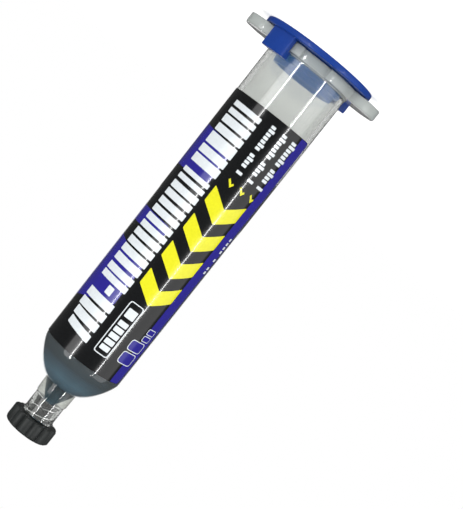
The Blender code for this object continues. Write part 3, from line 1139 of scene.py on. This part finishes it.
def model_grip(low, high, lobes, groove):
    """The grip: a turned disc, crossed with an outline of lobes."""
    grip, hole = 7.1 * MM, 1.0 * MM
    profile = [
        (hole, low),
        (grip - 0.3 * MM, low),
        (grip, low + 0.35 * MM),
        (grip, high - 0.6 * MM),
        (grip - 0.6 * MM, high),
        (hole, high),
    ]
    cap = turn("black_tip_cap", rounded_chain(profile, 0.18 * MM, 3))
    first_groove, narrowness = radians(25.0), 1.25
    count = 16 * lobes
    outline = []
    for number in range(count):
        turned_by = FULL_TURN * number / count
        depth = groove * (1 - abs(sin(turned_by * lobes / 2))) ** narrowness
        angle = turned_by + first_groove
        outline.append(((grip - depth) * cos(angle), (grip - depth) * sin(angle)))
    boolean(cap, slab("lobes", outline, low - BEYOND, high + BEYOND), "INTERSECT")
    return cap


def model_stem(cap, middle):
    """Joins the stem and its two lugs to the grip, and sinks the socket into them."""
    low, stem = GRIP_LOW.z, 3.3 * MM
    profile = [(1.5 * MM, middle), (stem, middle), (stem, low), (2.5 * MM, low)]
    boolean(cap, turn("stem", rounded_chain(profile, 0.2 * MM, 3)), "UNION")
    half, inner, outer = radians(14.0), 2.8 * MM, 3.52 * MM
    lug_low = low + 0.3 * MM
    for facing in (0.0, pi):
        lug = ring_part(outer, facing - half, facing + half)
        lug += ring_part(inner, facing + half, facing - half)
        boolean(cap, slab("lug", lug, lug_low, lug_low + 0.9 * MM), "UNION")
    mouth = 2.55 * MM
    socket = [(mouth, low - BEYOND), (mouth, low), (2.3 * MM, SPIGOT_HIGH + 0.3 * MM)]
    boolean(cap, turn("socket", socket), "DIFFERENCE")


class GLUE_OT_tip_cap(bpy.types.Operator):
    """Models the black tip cap: lobed grip, stem with two lugs, and socket"""

    bl_idname = "glue.tip_cap"
    bl_label = "Tip cap"

    def execute(self, context):
        sizes = context.scene.glue_tip_cap
        low, high = COLLAR_HIGH + 0.3 * MM, GRIP_HIGH.z
        cap = model_grip(low, high, sizes.lobes, sizes.groove)
        model_stem(cap, (low + high) / 2)
        weld(cap)
        soften(cap, 0.06 * MM, 2, radians(40.0))
        weld(cap)
        smooth(cap, radians(38.0))
        material, tree, shader = new_material(
            "Black moulded plastic", Roughness=0.5, IOR=1.5, Specular_IOR_Level=0.35
        )
        cloud = add_noise(tree, 500.0, 3.0)
        tint(tree, shader, cloud, shade(sizes.plastic, 0.8), shade(sizes.plastic, 1.15))
        grain = add_noise(tree, 4200.0, 3.0, 0.6)
        vary(tree, shader, grain, "Roughness", 0.42, 0.6)
        emboss(tree, shader, grain, 0.03 * MM, 0.6)
        finished(cap, material, "tip_cap_body", "black_cap", "tip_cap")
        return {"FINISHED"}


# ---- Stage ----


def light(name, direction, distance, height, width, tall, brightness, seen_through=True):
    """An area light that faces the barrel. The direction is from -Y, positive towards -X."""
    angle = radians(direction)
    place = Vector((-distance * sin(angle), -distance * cos(angle), height))
    bpy.ops.object.light_add(type="AREA", location=place)
    lamp = bpy.context.active_object
    lamp.name = name
    lamp.data.shape = "RECTANGLE"
    lamp.data.size = width
    lamp.data.size_y = tall
    lamp.data.energy = brightness * width * tall * pi
    aim = Vector((-place.x, -place.y, 0.0)).normalized()
    lamp.matrix_world = Matrix.Translation(place) @ frame_of(aim)
    lamp.visible_camera = False
    lamp.visible_transmission = seen_through


def frame_of(forward):
    """A turn that points -Z along forward and keeps Y upright."""
    back = -forward.normalized()
    right = Vector((0, 0, 1)).cross(back).normalized()
    up = back.cross(right)
    return Matrix((right, up, back)).transposed().to_4x4()


def lay_floor(pale):
    """The plain pale floor that the cap stands on."""
    bpy.ops.object.select_all(action="DESELECT")
    bpy.ops.mesh.primitive_plane_add(size=4.0, location=(0, 0, CAP_LOW.z))
    floor = bpy.context.active_object
    floor.name = "floor"
    place_in_mesh()
    material, tree, shader = new_material(
        "Pale floor", Roughness=0.8, Emission_Strength=0.55, Emission_Color=WHITE_LIGHT,
        Specular_IOR_Level=0.1,
    )
    paper = add_noise(tree, 40.0, 4.0)
    tint(tree, shader, paper, shade(pale, 0.985), pale)
    floor.data.materials.append(material)
    floor.visible_glossy = False


def surround(scene):
    """Surroundings that are white to look at, half as bright as a light and dim when mirrored."""
    world = bpy.data.worlds.new("Studio")
    scene.world = world
    world.use_nodes = True
    tree = world.node_tree
    dim = tree.nodes["Background"]
    dim.inputs["Color"].default_value = WHITE_LIGHT
    dim.inputs["Strength"].default_value = 0.08
    white = add_node(tree, "Background", Color=WHITE_LIGHT, Strength=1.0)
    rays = add_node(tree, "LightPath").outputs
    seen = calculate(tree, "MAXIMUM", rays["Is Camera Ray"], rays["Is Transmission Ray"])
    lit = calculate(tree, "MULTIPLY_ADD", rays["Is Diffuse Ray"], 0.5, seen)
    mix = add_node(tree, "MixShader", lit, dim.outputs[0], white.outputs[0])
    tree.links.new(mix.outputs[0], tree.nodes["World Output"].inputs["Surface"])
    scene.view_settings.view_transform = "Standard"


def place_camera(scene):
    """The camera, level with a third of the height and rolled so that the syringe lies aslant."""
    place = Vector((0.0, -0.392, 0.0380))
    aim = Vector((-0.0144, 0.0, 0.0576))
    back = (place - aim).normalized()
    up = Vector((0.620, 0.0, -0.7846))
    up = (up - back * up.dot(back)).normalized()
    right = up.cross(back)
    bpy.ops.object.camera_add(location=place)
    camera = bpy.context.active_object
    turned = Matrix((right, up, back)).transposed().to_4x4()
    camera.matrix_world = Matrix.Translation(place) @ turned
    camera.data.lens = 101.0
    camera.data.sensor_width = 36.0
    camera.data.dof.use_dof = False
    scene.camera = camera


class GLUE_OT_stage(bpy.types.Operator):
    """Sets up the floor, the lights, the surroundings and the camera"""

    bl_idname = "glue.stage"
    bl_label = "Stage"

    def execute(self, context):
        sizes = context.scene.glue_stage
        lay_floor(sizes.floor)
        # Each has its direction, distance, height, width, height of its own and brightness
        strip = (0.15, 0.095, 0.0036, 0.215, sizes.strip)
        light("strip_left", -27.0, *strip)
        light("strip_right", 47.0, *strip)
        dimmer = sizes.soft * 0.5
        light("soft_left", -38.0, 0.30, 0.14, 0.13, 0.36, sizes.soft)
        light("soft_right", 72.0, 0.30, 0.14, 0.20, 0.36, dimmer)
        light("soft_back", 180.0, 0.45, 0.25, 0.35, 0.35, dimmer, seen_through=False)
        surround(context.scene)
        place_camera(context.scene)
        return {"FINISHED"}


class GLUE_PT_sidebar(bpy.types.Panel):
    """Lists the pieces of the glue syringe"""

    bl_idname = "GLUE_PT_sidebar"
    bl_label = "Glue syringe"
    bl_space_type = "VIEW_3D"
    bl_region_type = "UI"
    bl_category = "Glue syringe"

    def draw(self, context):
        for operator, settings in STEPS:
            box = self.layout.box()
            box.operator(operator.bl_idname)
            group = getattr(context.scene, settings)
            for name in group.bl_rna.properties.keys():
                if name not in ("rna_type", "name"):
                    box.prop(group, name)


SETTINGS = {
    "glue_barrel": GlueBarrelSettings,
    "glue_end_cap": GlueEndCapSettings,
    "glue_piston": GluePistonSettings,
    "glue_filling": GlueFillingSettings,
    "glue_label": GlueLabelSettings,
    "glue_tip_cap": GlueTipCapSettings,
    "glue_stage": GlueStageSettings,
}
STEPS = (
    (GLUE_OT_barrel, "glue_barrel"),
    (GLUE_OT_end_cap, "glue_end_cap"),
    (GLUE_OT_piston, "glue_piston"),
    (GLUE_OT_glue, "glue_filling"),
    (GLUE_OT_label, "glue_label"),
    (GLUE_OT_print, "glue_label"),
    (GLUE_OT_tip_cap, "glue_tip_cap"),
    (GLUE_OT_stage, "glue_stage"),
)


def register():
    for name, group in SETTINGS.items():
        bpy.utils.register_class(group)
        setattr(bpy.types.Scene, name, PointerProperty(type=group))
    for operator, _ in STEPS:
        bpy.utils.register_class(operator)
    bpy.utils.register_class(GLUE_PT_sidebar)


def unregister():
    bpy.utils.unregister_class(GLUE_PT_sidebar)
    for operator, _ in reversed(STEPS):
        bpy.utils.unregister_class(operator)
    for name, group in reversed(SETTINGS.items()):
        delattr(bpy.types.Scene, name)
        bpy.utils.unregister_class(group)


def main():
    register()
    bpy.ops.glue.barrel()
    bpy.ops.glue.end_cap()
    bpy.ops.glue.piston()
    bpy.ops.glue.filling()
    bpy.ops.glue.label()
    bpy.ops.glue.print()
    bpy.ops.glue.tip_cap()
    bpy.ops.glue.stage()


if __name__ == "__main__":
    main()
